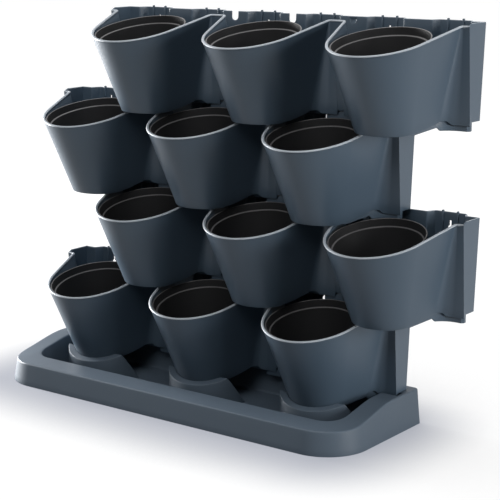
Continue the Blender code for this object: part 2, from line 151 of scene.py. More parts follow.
def circle(radius, count):
    # points (r cos a, r sin a) round a circle
    a = np.linspace(0, 2 * math.pi, count + 1)[:-1]
    return radius * np.stack([np.cos(a), np.sin(a)], -1)


def extruded(outline, axis, reach):
    # a plane outline carried along the axis (1 for Y, 2 for Z) from one end of the reach to the other
    return closedTube(np.stack([np.insert(outline, axis, place, axis=1) for place in reach]))


# Casing outline

def pocketHalf(radius, centreY, cornerX, cornerY, valley):
    # half a pocket in plan: an arc of the radius from the front to where the line to the strip's
    # corner touches it, that line, and an arc of the valley's radius that turns it along the strip
    away = math.atan2(cornerY - centreY, cornerX)
    touch = away - math.acos(radius / math.hypot(cornerX, cornerY - centreY))
    turn = touch + math.pi / 2
    a = np.linspace(-math.pi / 2, touch, grid["arc"])
    front = np.stack([radius * np.cos(a), centreY + radius * np.sin(a)], -1)
    back = valley * math.tan(turn / 2)
    b = np.linspace(turn + math.pi / 2, math.pi / 2, grid["corner"])
    corner = np.stack([cornerX + back + valley * np.cos(b), cornerY - valley + valley * np.sin(b)], -1)
    t = np.linspace(0, 1, grid["line"] + 2)[1:-1, None]
    return np.concatenate([front, front[-1] + (corner[0] - front[-1]) * t, corner])


def footHalf():
    # half of a pocket's outline at foot level
    return pocketHalf(c["footRadius"], c["footCentre"], c["stripFootX"], c["stripFootY"], c["valleyFoot"])


def frontLine(foot):
    # the pockets side by side, with straight strips between them and out to the ends
    if foot:
        half = footHalf()
    else:
        half = pocketHalf(c["rimRadius"], c["rimCentre"], c["stripX"], c["stripY"], c["valleyTop"])
    whole = np.concatenate([half[:0:-1] * [-1, 1], half])
    line = np.concatenate([whole + [x, 0] for x in pocketCentres])
    end = halfLength - (c["endDraft"] if foot else 0)
    edge = c["stripFootY"] if foot else c["stripY"]
    return np.concatenate([[[-end, edge]], line, [[end, edge]]])


def waveY(x, inset):
    # the panel's wave in plan: a trapezoid of period half a pitch, its corners drawn in by the inset
    period = c["pitch"] / 2
    near = np.abs((x + period) % period - period / 2)
    slant = math.atan2(c["waveDepth"], c["ramp"])
    half = c["rearHalf"] - inset * math.tan(slant / 2)
    share = roundClamp((half + c["ramp"] - near) / c["ramp"], c["waveEase"])
    return c["panelY"] - inset + c["waveDepth"] * share


def bothSides(centres, steps):
    # the places that lie each step to the left and to the right of each centre
    return (np.reshape(centres, (-1, 1, 1)) + np.array([[-1], [1]]) * np.asarray(steps)).ravel()


def columnPlaces():
    # places along X, at foot level, where the grid has a column
    g = grid
    foot = frontLine(True)
    places = []
    size = (len(foot) - 2) // c["pockets"]
    bend = g["arc"] + g["line"]
    for k in range(c["pockets"]):
        x = foot[1 + k * size:1 + (k + 1) * size, 0]
        middle = size // 2
        for half in (x[middle:], x[:middle + 1][::-1]):
            places += [half[:g["arc"]:g["keepArc"]], half[g["arc"]:bend:g["keepLine"]],
                       half[bend::g["keepCorner"]], half[-1:]]
    rise = np.sin(np.linspace(0, math.pi / 2, g["hookSteps"])) * c["hookHalf"]
    rampFrom = c["rearHalf"] - g["beforeRamp"]
    rampTo = c["rearHalf"] + c["ramp"] + g["afterRamp"]
    places.append(bothSides(flatCentres, np.linspace(rampFrom, rampTo, g["rampSteps"])))
    places.append(bothSides(stripCentres, [c["notchHalf"], c["notchHalf"] + c["notchEase"]]))
    places.append(bothSides(pocketCentres, c["skirtFree"] + np.array([-1, 0, 1]) * c["skirtEase"]))
    places.append(bothSides(hookPlaces, [*rise, c["hookHalf"] + c["notchEase"]]))
    places = np.concatenate(places)
    end = halfLength - c["endDraft"]
    places = np.sort(np.append(places[np.abs(places) < end - g["endStep"]], [-end, end]))
    return places[np.append(True, np.diff(places) > g["leastStep"])]


def undersideZ(x, y):
    # under the pockets a parabola over the next row's rims, flat behind; the strips' feet hang lower,
    # except at their small notches
    arch = c["rimLevel"] + c["rimSlope"] * y - c["tierPitch"] + c["archGap"]
    arch = np.minimum(arch + (y - c["archMiddle"]) ** 2 / (2 * c["archRadius"]), panelFoot)
    near = np.min(np.abs(x[..., None] - pocketCentres), -1)
    beside = smooth((near - c["skirtFree"] + c["skirtEase"]) / (2 * c["skirtEase"]))
    ahead = smooth((y - c["skirtFront"]) / c["skirtRise"])
    ahead = ahead * (1 - smooth((y - c["skirtBack"]) / c["skirtFall"]))
    skirt = c["skirtDrop"] * beside * ahead
    toStrip = np.min(np.abs(x[..., None] - stripCentres), -1)
    notch = c["notchHeight"] * smooth((c["notchHalf"] + c["notchEase"] - toStrip) / c["notchEase"]) * ahead
    return arch - skirt + notch


def floorZ(x, y):
    # the floor tilts with the pots' bases, whatever X is, and drops to level behind them
    tilted = floorTop + math.tan(c["floorTilt"]) * (y - c["stripY"])
    behind = smooth((y - c["floorEdge"]) / c["floorEase"])
    return tilted * (1 - behind) + floorTop * behind


def edgeZ(x, y, front):
    # the top edge: the pockets' rim plane, a step behind the strips, and hooks cut in the panel
    rim = c["rimLevel"] + c["rimSlope"] * y
    behind = smooth((y - c["stripY"] - c["shoulder"] + c["shoulderEase"]) / (2 * c["shoulderEase"]))
    level = np.where(front, rim, rim * (1 - behind) + panelTop * behind)
    for place in hookPlaces[:2]:
        away = np.abs(x - place)
        r = c["hookHalf"]
        depth = c["hookDepth"] - r + np.sqrt(np.clip(r * r - away ** 2, 0, None))
        inside = (away < r + grid["hair"]) & (y > c["panelY"] - 2 * c["wall"])
        level = np.where(inside, level - depth, level)
    return level


def chains(columns):
    # outer and inner plan points round the casing, at the foot and at the top, anticlockwise from
    # the front's left end; the inner ones lie a wall's thickness in
    rings = {}
    footLine = frontLine(True)
    share = np.array(grid["sides"]) / grid["sideDepth"]
    for foot in (True, False):
        line = frontLine(foot)
        normal = np.gradient(line, axis=0)
        normal = np.stack([normal[:, 1], -normal[:, 0]], -1)
        normal /= np.linalg.norm(normal, axis=1)[:, None]
        front, out = (np.stack([np.interp(columns, footLine[:, 0], values) for values in pair.T], -1)
                      for pair in (line, normal))
        out /= np.linalg.norm(out, axis=1)[:, None]
        frontIn = front - out * c["wall"]
        end = halfLength - (c["endDraft"] if foot else 0)
        shift = c["panelDraft"] if foot else 0
        nearEnd = smooth((np.abs(columns) - halfLength + c["endBlend"]) / c["endEase"])
        spread = columns * (1 + (end / (halfLength - c["endDraft"]) - 1) * nearEnd)
        back = np.stack([spread, waveY(columns, 0) - shift], -1)
        backIn = np.stack([spread, waveY(columns, c["wall"]) - shift], -1)
        for line in (frontIn, backIn):
            line[[0, -1], 0] = [-end + c["wall"], end - c["wall"]]
        frontIn[[0, -1], 1] = front[0, 1] + c["wall"]
        reach = end - c["wall"] - grid["endHair"]
        backIn[1:-1, 0] = np.clip(backIn[1:-1, 0], -reach, reach)
        sides = []
        for k in (-1, 0):
            for f, b in ((front, back), (frontIn, backIn)):
                y = f[k, 1] + (b[k, 1] - f[k, 1]) * share
                sides.append(np.column_stack([np.full(len(y), f[k, 0]), y]))
        rightOut, rightIn, leftOut, leftIn = sides
        rings[foot] = (np.concatenate([front, rightOut, back[::-1], leftOut[::-1]]),
                       np.concatenate([frontIn, rightIn, backIn[::-1], leftIn[::-1]]))
    return rings


def patch(front, back, levels, height):
    # a sheet between a front and a back chain of points: column i runs from front[i] to back[i],
    # with a point at each level of Y that lies between them, and Z is height(x, y)
    y = np.clip(levels[:, None], front[None, :, 1], back[None, :, 1])
    t = (y - front[None, :, 1]) / (back[None, :, 1] - front[None, :, 1])
    x = front[None, :, 0] + (back[None, :, 0] - front[None, :, 0]) * t
    return np.stack([x, y, height(x, y)], -1)


def casingWalls(columns):
    # rings of points round the outline, one for each place on the wall's section, from the foot's
    # rounded edge up the outside, over the bead and down the inside; each ring's points lie on
    # straight lines between the foot outline and the top outline
    rings = chains(columns)
    (footOut, footIn), (topOut, topIn) = rings[True], rings[False]
    isFront = np.arange(len(footOut)) < len(columns)
    zTop = edgeZ(topOut[:, 0], topOut[:, 1], isFront)
    zFull = np.where(~isFront & (topOut[:, 1] > c["panelFrom"]), np.maximum(zTop, panelTop), zTop)
    zFoot = undersideZ(footOut[:, 0], footOut[:, 1])

    def planAt(foot, top, z):
        share = ((z - zFoot) / (zFull - zFoot))[:, None]
        return foot + (top - foot) * share

    bead = np.where(isFront, c["beadRadius"], c["wall"] / 2)
    edge = smooth((np.abs(topOut[:, 0]) - halfLength + c["beadEnd"]) / c["beadEase"]) * isFront
    bead = bead * (1 - edge) + c["wall"] / 2 * edge
    start = -np.arccos(np.clip(c["wall"] / 2 / bead, -1, 1))
    stations = []
    r = c["edgeRadius"]
    for a in np.linspace(0, math.pi / 2, grid["edgeSteps"]):
        z = zFoot + r - r * math.cos(a)
        plan = planAt(footOut, topOut, z)
        inward = (planAt(footIn, topIn, z) - plan) / c["wall"]
        stations.append(np.column_stack([plan + inward * r * (1 - math.sin(a)), z]))
    low = zFoot + r
    high = zTop - bead + bead * np.sin(start)
    for t in np.linspace(0, 1, grid["wallSteps"])[1:]:
        z = low + (high - low) * t
        stations.append(np.column_stack([planAt(footOut, topOut, z), z]))
    centre = zTop - bead
    outside, inside = planAt(footOut, topOut, centre), planAt(footIn, topIn, centre)
    middle = (outside + inside) / 2
    outward = (outside - inside) / c["wall"]
    for t in np.linspace(0, 1, grid["beadSteps"])[1:-1]:
        a = start + (math.pi - 2 * start) * t
        plan = middle + outward * (bead * np.cos(a))[:, None]
        stations.append(np.column_stack([plan, centre + bead * np.sin(a)]))
    innerLow = floorZ(*footIn.T)
    for _ in range(3):
        innerLow = floorZ(*planAt(footIn, topIn, innerLow).T)
    # the blind hook is a shallow recess inside the panel's top edge
    for t in np.append(np.linspace(*grid["insideTop"]), np.linspace(*grid["insideRest"])):
        z = high + (innerLow - high) * t
        plan = planAt(footIn, topIn, z)
        away = np.abs(plan[:, 0] - hookPlaces[2])
        inHook = (away < c["hookHalf"] + grid["hair"]) & (plan[:, 1] > c["panelFrom"])
        drop = c["recessDrop"] - c["hookHalf"] + np.sqrt(np.clip(c["hookHalf"] ** 2 - away ** 2, 0, None))
        plan[:, 1] += np.where(inHook & (z > panelTop - drop) & (t > 0), c["recessDepth"], 0)
        stations.append(np.column_stack([plan, z]))
    return np.stack(stations)


def casingShell():
    # the walls, closed by the underside and the floor: each is a sheet from the front's ring points
    # to the panel's, with rows where its height bends and at the end walls' own points
    g = grid
    columns = columnPlaces()
    n = len(columns)
    m = len(g["sides"])
    walls = casingWalls(columns)
    parts = [(walls, gridFaces(*walls.shape[:2], True))]
    sheets = ((walls[0], undersideZ, g["underArch"], g["underSkirt"], g["underPanel"]),
              (walls[-1], floorZ, g["floorSlope"], g["floorBack"], g["floorPanel"]))
    for ring, height, slope, bends, behind in sheets:
        ahead = np.append(np.linspace(*slope), bends)
        ahead = ahead[ahead < ring[0, 1]]
        ends = np.sort(ring[n:n + m, 1])
        levels = np.concatenate([[g["frontMost"]], ahead, ends, behind, [g["backMost"]]])
        sheet = patch(ring[:n, :2], ring[n + m:2 * n + m][::-1, :2], levels, height)
        parts.append((sheet, gridFaces(len(levels), n, False)))
    return toMesh("casing", *joinParts(parts))


def casingCutters():
    # keyhole outlines carried through the panel, and round drains through the floor
    turn = math.acos(c["keyHalf"] / c["keyRadius"])
    a = np.linspace(math.pi - turn, 2 * math.pi + turn, grid["keySteps"])
    hole = np.stack([c["keyRadius"] * np.cos(a), c["keyCentre"] + c["keyRadius"] * np.sin(a)], -1)
    b = np.linspace(0, math.pi, grid["slotSteps"])
    slot = np.stack([c["keyHalf"] * np.cos(b), c["keyTop"] - c["keyHalf"] + c["keyHalf"] * np.sin(b)], -1)
    keyhole = np.concatenate([hole, slot])
    drain = circle(c["drainRadius"], grid["drainSteps"]) + [0, c["drainY"]]
    parts = [extruded(keyhole + [x, 0], 1, c["keyReach"]) for x in flatCentres]
    parts += [extruded(drain + [x, 0], 2, c["drainReach"]) for x in pocketCentres]
    return toMesh("keyholes", *joinParts(parts))


def cutMesh(mesh, cutter, name):
    # the mesh less the cutter's mesh
    block = bpy.data.objects.new(name + "Block", mesh)
    knife = bpy.data.objects.new(name + "Knife", cutter)
    for item in (block, knife):
        bpy.context.scene.collection.objects.link(item)
    step = block.modifiers.new("cut", "BOOLEAN")
    step.operation = "DIFFERENCE"
    step.solver = "EXACT"
    step.object = knife
    graph = bpy.context.evaluated_depsgraph_get()
    graph.update()
    result = bpy.data.meshes.new_from_object(block.evaluated_get(graph))
    result.name = name
    for item in (block, knife):
        bpy.data.objects.remove(item)
    return result


def roundedBar(start, end, width, thickness, radius, steps=4):
    # a bar between two (x, y, z) points, its section a rounded rectangle that lies in the XY plane
    # and shrinks through a quarter circle at either end
    turns = np.linspace(0, math.pi / 2, steps)
    outline = []
    for k, (sx, sy) in enumerate(((1, 1), (-1, 1), (-1, -1), (1, -1))):
        a = turns + k * math.pi / 2
        outline.append(np.stack([sx * (width / 2 - radius) + radius * np.cos(a),
                                 sy * (thickness / 2 - radius) + radius * np.sin(a)], -1))
    outline = np.concatenate(outline)
    start, end = np.array(start), np.array(end)
    length = np.linalg.norm(end - start)
    rings = []
    places = [(radius - radius * math.cos(a), radius - radius * math.sin(a)) for a in turns]
    for along, shrink in places + [(length - along, shrink) for along, shrink in places[::-1]]:
        spot = start + (end - start) * along / length
        scale = np.array([1 - 2 * shrink / width, 1 - 2 * shrink / thickness])
        rings.append(np.column_stack([outline * scale + spot[:2], np.full(len(outline), spot[2])]))
    return closedTube(np.stack(rings))


fittings = dict(
    ribWidth=0.0025, ribSpacing=0.0225, ribLength=0.0400, ribRise=0.0020, ribThickness=0.0034,
    ribRound=0.0005, nestGap=0.0004,
    lipHalf=0.0240, lipInset=0.0028, lipThickness=0.0022, lipDrop=0.0122, lipRound=0.0006,
    lipStart=0.0085, lipEase=0.0060, lipEnd=0.0100, lipCorner=0.0030, lipReturn=0.0075,
    lipSunk=0.0014, lipLeast=0.0008, lipKeep=9, lipSteps=9, roundSteps=4,
    rimBelow=-0.1287, rimBelowSlope=0.2309, rimBelowEnd=0.0478, rimBelowEase=0.0050, potTravel=0.0042)


def lipPath():
    # half of the lip's front face in plan, from the side of a pocket centred on X = 0 to its strip:
    # the foot outline moved in by the inset, from where the underside rises past the lip's lower edge
    f = fittings
    line = footHalf()
    step = np.gradient(line, axis=0)
    step /= np.linalg.norm(step, axis=1)[:, None]
    inner = line + np.stack([-step[:, 1], step[:, 0]], -1) * f["lipInset"]
    inner = inner[(inner[:, 1] > f["lipStart"]) & (inner[:, 0] > c["footRadius"] / 2)]
    return np.concatenate([inner[::f["lipKeep"]], inner[-1:], [[c["pitch"] / 2 - f["lipEnd"], inner[-1, 1]]]])


def lipWall(path):
    # a thin wall along the path: its section at each point runs from the lower edge, rounded, up into
    # the casing's underside; the lower edge follows the rims of the pots below, with room for their
    # travel, is level behind them, and eases up to the underside at the path's front end
    f = fittings
    step = np.gradient(path, axis=0)
    step /= np.linalg.norm(step, axis=1)[:, None]
    inward = np.stack([-step[:, 1], step[:, 0]], -1)
    y = path[:, 1]
    over = f["rimBelow"] + f["rimBelowSlope"] * y + f["potTravel"]
    beyond = smooth((y - f["rimBelowEnd"]) / f["rimBelowEase"])
    low = over * (1 - beyond) + (panelFoot - f["lipDrop"]) * beyond
    high = undersideZ(path[:, 0], y) + f["lipSunk"]
    ahead = smooth((y - f["lipStart"]) / f["lipEase"])
    low = np.minimum(low * ahead + high * (1 - ahead), high - f["lipLeast"])
    r = f["lipRound"]
    t = f["lipThickness"]
    a = np.linspace(0, math.pi / 2, f["roundSteps"])
    across = np.concatenate([r - r * np.sin(a[::-1]), t - r + r * np.sin(a), [t, 0]])
    upward = np.concatenate([r - r * np.cos(a[::-1]), r - r * np.cos(a)])
    rings = []
    for k in range(len(across)):
        z = low + upward[k] if k < len(upward) else high
        rings.append(np.column_stack([path + inward * across[k], z]))
    return closedTube(np.swapaxes(np.stack(rings), 0, 1))


def casingFittings():
    # ribs on the panel's back flats, and lips that hang behind the strips
    f = fittings
    top = panelTop + f["ribRise"]
    lean = c["panelDraft"] / (panelTop - panelFoot)
    y = c["panelY"] + c["waveDepth"] - c["panelDraft"] + f["nestGap"] + f["ribThickness"] / 2
    parts = []
    for x in bothSides(flatCentres, [f["ribSpacing"] / 2]):
        low = (x, y - lean * f["ribLength"], top - f["ribLength"])
        parts.append(roundedBar(low, (x, y, top), f["ribWidth"], f["ribThickness"], f["ribRound"]))
    half = lipPath()
    back = half[-1, 1]
    across = np.linspace(-f["lipHalf"], f["lipHalf"], f["lipSteps"])
    for x in stripCentres:
        parts.append(lipWall(np.column_stack([x + across, np.full(len(across), back)])))
    end = halfLength - c["endDraft"] - f["lipInset"]
    tail = [[end - f["lipCorner"], back], [end, back + f["lipCorner"]], [end, back + f["lipReturn"]]]
    path = np.concatenate([half + [pocketCentres[-1], 0], tail])
    parts.append(lipWall(path))
    parts.append(lipWall(path[::-1] * [-1, 1]))
    return joinParts(parts)


def addFittings(mesh, points, faces):
    # the mesh with some closed solids added to it
    extra = toMesh("fittings", points, faces)
    work = bmesh.new()
    work.from_mesh(mesh)
    work.from_mesh(extra)
    work.to_mesh(mesh)
    work.free()
    bpy.data.meshes.remove(extra)
    return mesh


def placed(mesh, name, move, tilt=0):
    # an object at the origin whose mesh is turned about X and moved to its place
    copy = mesh.copy()
    copy.name = name
    points = np.empty(len(copy.vertices) * 3, np.float32)
    copy.vertices.foreach_get("co", points)
    points = points.reshape(-1, 3).astype(float)
    turn = np.array([[1, 0, 0], [0, math.cos(tilt), -math.sin(tilt)], [0, math.sin(tilt), math.cos(tilt)]])
    points = points @ turn.T + np.array(move)
    copy.vertices.foreach_set("co", points.astype(np.float32).ravel())
    copy.update()
    copy.shade_smooth()
    copy.set_sharp_from_angle(angle=sharpAngle)
    piece = bpy.data.objects.new(name, copy)
    bpy.context.scene.collection.objects.link(piece)
    return piece


# Materials

def node(tree, kind, place, sockets=None, **values):
    # a new node with its settings, and then its sockets' constant values
    item = tree.nodes.new(kind)
    item.location = place
    for key, value in values.items():
        setattr(item, key, value)
    for key, value in (sockets or {}).items():
        item.inputs[key].default_value = value
    return item


def wire(tree, links):
    # joins a node's output to the next one's input, for each (node, output, node, input)
    for start, output, end, socket in links:
        tree.links.new(start.outputs[output], end.inputs[socket])


plastic = dict(shadeAt=(0.35, 0.65), driftDetail=3, dustAt=(0.62, 0.80), scuffDetail=8, scuffRoughness=0.7,
               grainDetail=4, grainDepth=0.00012, ior=1.5)


def plasticMaterial(name, look):
    # moulded plastic: a slow drift of shade, fine grain in the bump and gloss, and faint dusty scuffs
    material = bpy.data.materials.new(name)
    material.use_nodes = True
    tree = material.node_tree
    shader = tree.nodes["Principled BSDF"]
    shader.inputs["IOR"].default_value = plastic["ior"]
    shader.inputs["Specular IOR Level"].default_value = look["specular"]
    place = node(tree, "ShaderNodeTexCoord", (-1200, 0))
    drift = node(tree, "ShaderNodeTexNoise", (-950, 250),
                 {"Scale": look["driftScale"], "Detail": plastic["driftDetail"]})
    colour = node(tree, "ShaderNodeValToRGB", (-700, 250))
    for stop, shadeAt, shade in zip(colour.color_ramp.elements, plastic["shadeAt"], ("dark", "light")):
        stop.position = shadeAt
        stop.color = (*look[shade], 1)
    scuff = node(tree, "ShaderNodeTexNoise", (-950, -50),
                 {"Scale": look["scuffScale"], "Detail": plastic["scuffDetail"],
                  "Roughness": plastic["scuffRoughness"]})
    dustFrom, dustTo = plastic["dustAt"]
    dust = node(tree, "ShaderNodeMapRange", (-700, -50),
                {"From Min": dustFrom, "From Max": dustTo, "To Max": look["dust"]})
    mix = node(tree, "ShaderNodeMix", (-420, 200), {"B": (*look["dustColour"], 1)}, data_type="RGBA")
    gloss = node(tree, "ShaderNodeMapRange", (-420, -80),
                 {"To Min": look["roughLow"], "To Max": look["roughHigh"]})
    grain = node(tree, "ShaderNodeTexNoise", (-950, -350),
                 {"Scale": look["grainScale"], "Detail": plastic["grainDetail"]})
    bump = node(tree, "ShaderNodeBump", (-420, -350),
                {"Strength": look["grain"], "Distance": plastic["grainDepth"]})
    wire(tree, [(place, "Object", texture, "Vector") for texture in (drift, scuff, grain)])
    wire(tree, [(drift, "Fac", colour, "Fac"),
                (colour, "Color", mix, "A"),
                (scuff, "Fac", dust, "Value"),
                (dust, "Result", mix, "Factor"),
                (mix, "Result", shader, "Base Color"),
                (scuff, "Fac", gloss, "Value"),
                (gloss, "Result", shader, "Roughness"),
                (grain, "Fac", bump, "Height"),
                (bump, "Normal", shader, "Normal")])
    return material


looks = dict(
    casing=dict(
        dark=(0.050, 0.075, 0.104), light=(0.058, 0.085, 0.116), dustColour=(0.15, 0.19, 0.24), dust=0.10,
        driftScale=3.0, scuffScale=38, grainScale=900, grain=0.35,
        roughLow=0.32, roughHigh=0.44, specular=0.38),
    tray=dict(
        dark=(0.058, 0.079, 0.104), light=(0.066, 0.089, 0.116), dustColour=(0.16, 0.19, 0.23), dust=0.12,
        driftScale=3.0, scuffScale=34, grainScale=900, grain=0.35,
        roughLow=0.44, roughHigh=0.58, specular=0.30),
    pot=dict(
        dark=(0.011, 0.0112, 0.012), light=(0.016, 0.0162, 0.017), dustColour=(0.06, 0.055, 0.05), dust=0.10,
        driftScale=5.0, scuffScale=60, grainScale=1100, grain=0.4,
        roughLow=0.50, roughHigh=0.64, specular=0.09),
    # a paler copy of the casing's plastic: painted highlight on the bead and the panel's top edge
    casingEdge=dict(
        dark=(0.265, 0.295, 0.328), light=(0.310, 0.345, 0.380), dustColour=(0.36, 0.38, 0.40), dust=0.15,
        driftScale=6.0, scuffScale=50, grainScale=900, grain=0.25,
        roughLow=0.40, roughHigh=0.54, specular=0.5),
    # a paler copy of the pots' plastic: painted highlight on the ledge inside and the rim's crown
    potEdge=dict(
        dark=(0.075, 0.073, 0.074), light=(0.095, 0.092, 0.094), dustColour=(0.14, 0.13, 0.12), dust=0.25,
        driftScale=9.0, scuffScale=70, grainScale=1100, grain=0.4,
        roughLow=0.40, roughHigh=0.55, specular=0.4))
finishes = {name: plasticMaterial(name + "Plastic", look) for name, look in looks.items()}


def markFaces(mesh, choose):
    # gives the second material, the paler one that paints highlights, to the faces that the rule
    # chooses, by their centres' distance from the Z axis, Y and Z
    centres = np.empty(len(mesh.polygons) * 3, np.float32)
    mesh.polygons.foreach_get("center", centres)
    x, y, z = centres.reshape(-1, 3).T
    mesh.polygons.foreach_set("material_index", choose(np.hypot(x, y), y, z).astype(np.int32))


def dress(piece, kind, body, nodeName):
    # the piece's finishes and the body that it belongs to; the CAD node that it replaces is hidden
    piece.data.materials.append(finishes[kind])
    # the second finish is a paler copy of the plastic that paints highlights on the faces markFaces chooses
    if kind != "tray":
        piece.data.materials.append(finishes[kind + "Edge"])
    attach(piece, body)
    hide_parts(nodeName)


# Casings

def paintedHighlightOnCasing(r, y, z):
    # painted highlight: the bead along the front, and the panel's top edge, get the paler finish
    onBead = z - c["rimSlope"] * y > c["rimLevel"] - c["paleBead"]
    return np.where(y < c["stripY"] + c["paleBack"], onBead, np.abs(z - panelTop) < c["paleEdge"])


casingMesh = cutMesh(casingShell(), casingCutters(), "casing")
casingMesh = addFittings(casingMesh, *casingFittings())
markFaces(casingMesh, paintedHighlightOnCasing)
print("casing:", len(casingMesh.polygons), "faces")


def tierPlace(row):
    # where the casing of the row stands, from its CAD node's box
    low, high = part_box(f"tier_{row}")
    return ((low[0] + high[0]) / 2, 0, high[2] - panelTop - fittings["ribRise"])


tiers = sum(name.startswith("tier_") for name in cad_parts)
for row in range(1, tiers + 1):
    dress(placed(casingMesh, f"casing_{row}", tierPlace(row)), "casing", f"tier_{row}", f"tier_{row}")

# Pots. The roundings are those of the profile's corners, from the base's middle up the outside,
# over the rim and down the inside to the middle again.
pot = dict(
    rim=0.0654, base=0.0370, wall=0.0018, band=0.0100, ledge=0.0022, step=0.0006, depth=0.10866,
    dimple=0.0150, dimpleFoot=0.0170, dimpleRise=0.0012, drop=0.0025, tilt=math.radians(13), around=120,
    drains=3, drainRadius=0.0045, drainRing=0.0200, drainReach=0.0100, drainSteps=24,
    paleInset=0.0008, paleMiddle=0.0003, paleHalf=0.0006, paleCrown=0.0004,
    roundings=(0.0008, 0.0008, 0.0020, 0.0008, 0.0008, 0.0007,
               0.0007, 0.0009, 0.0012, 0.0030, 0.0008, 0.0008))


def filleted(corners, radii, steps=5):
    # a profile with each corner replaced by a quadratic curve that starts and ends a radius away
    points = [np.array(corners[0], float)]
    for before, corner, after, radius in zip(corners, corners[1:], corners[2:], radii):
        before, corner, after = (np.array(p, float) for p in (before, corner, after))
        first = corner + (before - corner) / np.linalg.norm(before - corner) * radius
        last = corner + (after - corner) / np.linalg.norm(after - corner) * radius
        for t in np.linspace(0, 1, steps):
            points.append(first * (1 - t) ** 2 + corner * 2 * t * (1 - t) + last * t * t)
    points.append(np.array(corners[-1], float))
    return np.array(points)


def turned(profile, around):
    # the profile's (r, z) points turned about Z; its first and last points lie on the axis
    a = np.linspace(0, 2 * math.pi, around + 1)[:-1]
    r, z = profile[:, 0][:, None], profile[:, 1][:, None]
    points = np.stack([r * np.cos(a), r * np.sin(a), np.broadcast_to(z, (len(profile), around))], -1)
    return points.reshape(-1, 3), gridFaces(len(profile), around, True)


def potMesh():
    # a tapering cup with a wide band under its rim, turned from its profile, with drains in its base
    p = pot
    taper = (p["rim"] - p["ledge"] - p["base"]) / p["depth"]
    outer = lambda depth, step: (p["rim"] - step - taper * depth, -depth)
    inner = lambda depth, step: (p["rim"] - p["wall"] - step - taper * depth, -depth)
    under = p["band"] + p["wall"]
    base = -p["depth"]
    floor = base + p["wall"]
    corners = [(0, base + p["dimpleRise"]), (p["dimple"], base + p["dimpleRise"]), (p["dimpleFoot"], base),
               (p["base"], base), outer(under + p["step"], p["ledge"]), outer(under, 0), outer(0, 0),
               inner(0, 0), inner(p["band"], 0), inner(p["band"] + p["step"], p["ledge"]),
               (p["base"] - p["wall"], floor), (p["dimpleFoot"], floor),
               (p["dimple"], floor + p["dimpleRise"]), (0, floor + p["dimpleRise"])]
    mesh = toMesh("pot", *turned(filleted(corners, p["roundings"]), p["around"]))
    holes = []
    for k in range(p["drains"]):
        spot = 2 * math.pi * (k + 0.5) / p["drains"]
        middle = p["drainRing"] * np.array([math.cos(spot), math.sin(spot)])
        reach = (base - p["drainReach"], base + p["drainReach"])
        holes.append(extruded(circle(p["drainRadius"], p["drainSteps"]) + middle, 2, reach))
    return cutMesh(mesh, toMesh("drains", *joinParts(holes)), "pot")


def paintedHighlightOnPot(r, y, z):
    # painted highlight: the ledge inside, and the rim's crown, get the paler finish
    onLedge = (np.abs(z + pot["band"] + pot["paleMiddle"]) < pot["paleHalf"])
    return onLedge & (r < pot["rim"] - pot["wall"] - pot["paleInset"]) | (z > -pot["paleCrown"])


basePot = potMesh()
markFaces(basePot, paintedHighlightOnPot)
print("pot:", len(basePot.polygons), "faces")
for row in range(1, tiers + 1):
    x, y, z = tierPlace(row)
    for column, centre in enumerate(pocketCentres, start=1):
        name = f"pot_{row}_{column}"
        piece = placed(basePot, f"inner_{name}", (x + centre, y, z - pot["drop"]), pot["tilt"])
        dress(piece, "pot", name, name)

# Tray
tray = dict(
    side=0.3060, front=-0.0940, rear=0.1070, frontRadius=0.0580, rearRadius=0.0060, flare=0.0050,
    rearGrow=0.0010, leastRadius=0.0015, wall=0.0030, height=0.0497, frontHeight=0.0335, rimRise=0.0015,
    slopeFront=-0.0650, slopeBack=0.0400, bandFront=0.0383, bandSide=0.0310, bandBack=0.0220,
    basinRadius=0.0300, basinRearRadius=0.0100, basinDraft=0.0040, basinStep=0.0010, basinRound=0.0040,
    edgeRound=0.0026, edgeShare=0.92, rimRound=0.0020, rimShares=(0.12, 0.88, 6),
    footEdge=((-0.0006, 0), (-0.0001, 0.0003), (0, 0.0010)), footStep=0.0003, hollowStep=0.0020,
    saddleRadius=0.0660, saddleCentre=0.0380, saddleFrom=-176, saddleTo=-4, saddlePeak=0.0432,
    saddleSlope=0.39, saddleCut=1.5, saddleRound=0.0012, saddleSunk=0.0004, saddleLeast=0.0002,
    saddleGap=0.0005, ledgeRadius=0.0400, pocketFoot=0.1218, pocketHeight=0.1055, pocketStart=0.0400,
    slotIn=0.2550, slotGap=0.0015, slotFront=0.0575, slotBack=0.0745, slotOver=0.0100,
    wallShares=(0.25, 0.5, 0.75), basinShares=(0.3, 0.6), saddleShares=(0.33, 0.66, 1.0),
    frontCorner=22, rearCorner=8, sidePoints=40, edgePoints=11, edgeSteps=7, rimSteps=6,
    saddleSteps=61, saddleEdgeSteps=5)


def trayRise(y):
    # the side rims rise from the front height to the rear one along a smooth step
    return smooth((y - tray["slopeFront"]) / (tray["slopeBack"] - tray["slopeFront"]))


def trayOutline(side, front, rear, frontRadius, rearRadius):
    # a rounded rectangle, anticlockwise from the middle of the front; the sides have many points
    t = tray
    few = t["edgePoints"]
    a = np.linspace(-math.pi / 2, 0, t["frontCorner"])
    b = np.linspace(0, math.pi / 2, t["rearCorner"])
    frontIn, rearIn = front + frontRadius, rear - rearRadius
    corner = np.stack([side - frontRadius + frontRadius * np.cos(a), frontIn + frontRadius * np.sin(a)], -1)
    rearCorner = np.stack([side - rearRadius + rearRadius * np.cos(b), rearIn + rearRadius * np.sin(b)], -1)
    y = np.linspace(frontIn, rearIn, t["sidePoints"] + 2)[1:-1]
    straight = np.stack([np.full(len(y), side), y], -1)
    frontEdge = np.stack([np.linspace(0, side - frontRadius, few + 1)[:-1], np.full(few, front)], -1)
    rearEdge = np.stack([np.linspace(side - rearRadius, 0, few + 1)[1:], np.full(few, rear)], -1)
    right = np.concatenate([frontEdge, corner, straight, rearCorner, rearEdge])
    return np.concatenate([right, right[-2:0:-1] * [-1, 1]])


